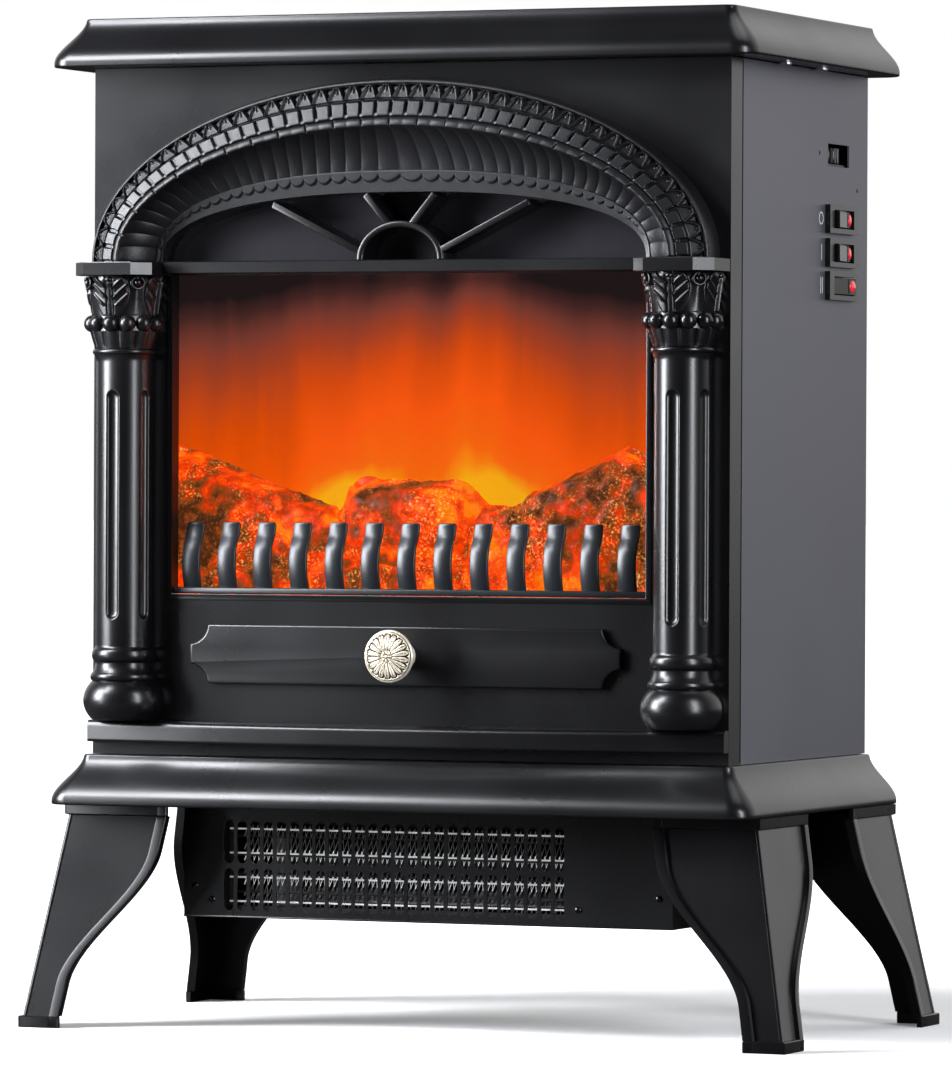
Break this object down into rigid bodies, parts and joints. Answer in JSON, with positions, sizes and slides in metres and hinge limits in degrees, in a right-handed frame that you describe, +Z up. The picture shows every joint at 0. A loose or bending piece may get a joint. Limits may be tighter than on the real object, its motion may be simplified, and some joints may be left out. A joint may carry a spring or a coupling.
{
  "type": "electric fireplace stove",
  "caption": "Free-standing electric fireplace stove with an arched front, flame window, ember grate, fan heater below, splayed legs and rocker switches on its side.",
  "frame": {"origin": "the middle of the overall footprint, at floor level under the feet", "axes": "+Z up; -Y is the front with the window; +X is the right side as seen from the front, where the switches are"},
  "size_m": [0.5052, 0.2972, 0.6222],
  "materials": {
    "black_plastic": "satin black moulded plastic",
    "black_paint": "satin black paint on sheet steel",
    "grey_paint": "matt charcoal grey paint on sheet steel",
    "bright_steel": "plain zinc-plated steel",
    "brass": "polished pale brass",
    "clear_glass": "clear flat glass",
    "smoked_glass": "grey smoked glass",
    "ember_resin": "translucent orange and black ember moulding, lit from below",
    "flame_film": "translucent diffusing screen that shows the flames",
    "mica": "pale mica board",
    "white_plastic": "off-white nylon",
    "green_board": "green circuit board",
    "bakelite": "dark brown thermoset"
  },
  "bodies": {
    "stove": {"air_scroll": "bright_steel", "arch_moulding": "black_plastic", "back_panel": "grey_paint", "base_moulding": "black_plastic", "base_plate": "bright_steel", "blower_bearing": "white_plastic", "blower_motor": "bright_steel", "cap_plate": "black_paint", "cap_screw_left_front": "bright_steel", "cap_screw_left_rear": "bright_steel", "cap_screw_right_front": "bright_steel", "cap_screw_right_rear": "bright_steel", "cord_gland": "black_plastic", "drawer_front": "black_plastic", "drawer_knob": "brass", "ember_bed": "ember_resin", "fanlight_grille": "black_plastic", "fanlight_pane": "smoked_glass", "firebox_shelf": "bright_steel", "flame_screen": "flame_film", "front_fascia": "black_plastic", "front_left_leg": "black_plastic", "front_right_leg": "black_plastic", "glass_frame": "black_plastic", "grate": "black_paint", "heater_box": "black_paint", "heater_grille": "black_paint", "heating_element": "mica", "high_heat_switch": "black_plastic", "knob_screw": "bright_steel", "led_strip": "green_board", "left_capital": "black_plastic", "left_column": "black_plastic", "left_side_panel": "grey_paint", "left_slab": "black_plastic", "low_heat_switch": "black_plastic", "power_switch": "black_plastic", "rear_left_leg": "black_plastic", "rear_right_leg": "black_plastic", "right_capital": "black_plastic", "right_column": "black_plastic", "right_side_panel": "grey_paint", "right_slab": "black_plastic", "rotor_bearing": "white_plastic", "rotor_motor": "bright_steel", "sill_ledge": "black_plastic", "terminal_block": "white_plastic", "thermal_cutout": "bakelite", "thermostat_body": "white_plastic", "top_cap": "black_plastic", "transom_bar": "black_plastic", "window_glass": "clear_glass"},
    "flame_rotor": {"flame_rotor": "bright_steel"},
    "blower_wheel": {"blower_wheel": "black_paint"},
    "thermostat_wheel": {"thermostat_wheel": "black_plastic"},
    "power_rocker": {"power_rocker": "black_plastic"},
    "low_heat_rocker": {"low_heat_rocker": "black_plastic"},
    "high_heat_rocker": {"high_heat_rocker": "black_plastic"}
  },
  "joints": [
    {"name": "flame_rotor_spin", "type": "hinge", "parent": "stove", "child": "flame_rotor", "pos_m": [0, -0.024, 0.3], "axis": [1, 0, 0], "continuous": true},
    {"name": "blower_spin", "type": "hinge", "parent": "stove", "child": "blower_wheel", "pos_m": [0, -0.012, 0.104], "axis": [1, 0, 0], "continuous": true},
    {"name": "thermostat_turn", "type": "hinge", "parent": "stove", "child": "thermostat_wheel", "pos_m": [0.1875, 0.0739, 0.5405], "axis": [0, 0, 1], "range_deg": [-135, 135]},
    {"name": "power_rock", "type": "hinge", "parent": "stove", "child": "power_rocker", "pos_m": [0.206, 0.0756, 0.501], "axis": [0, 0, 1], "range_deg": [-14, 0]},
    {"name": "low_heat_rock", "type": "hinge", "parent": "stove", "child": "low_heat_rocker", "pos_m": [0.206, 0.0756, 0.4802], "axis": [0, 0, 1], "range_deg": [-14, 0]},
    {"name": "high_heat_rock", "type": "hinge", "parent": "stove", "child": "high_heat_rocker", "pos_m": [0.206, 0.0756, 0.4599], "axis": [0, 0, 1], "range_deg": [0, 14]}
  ]
}
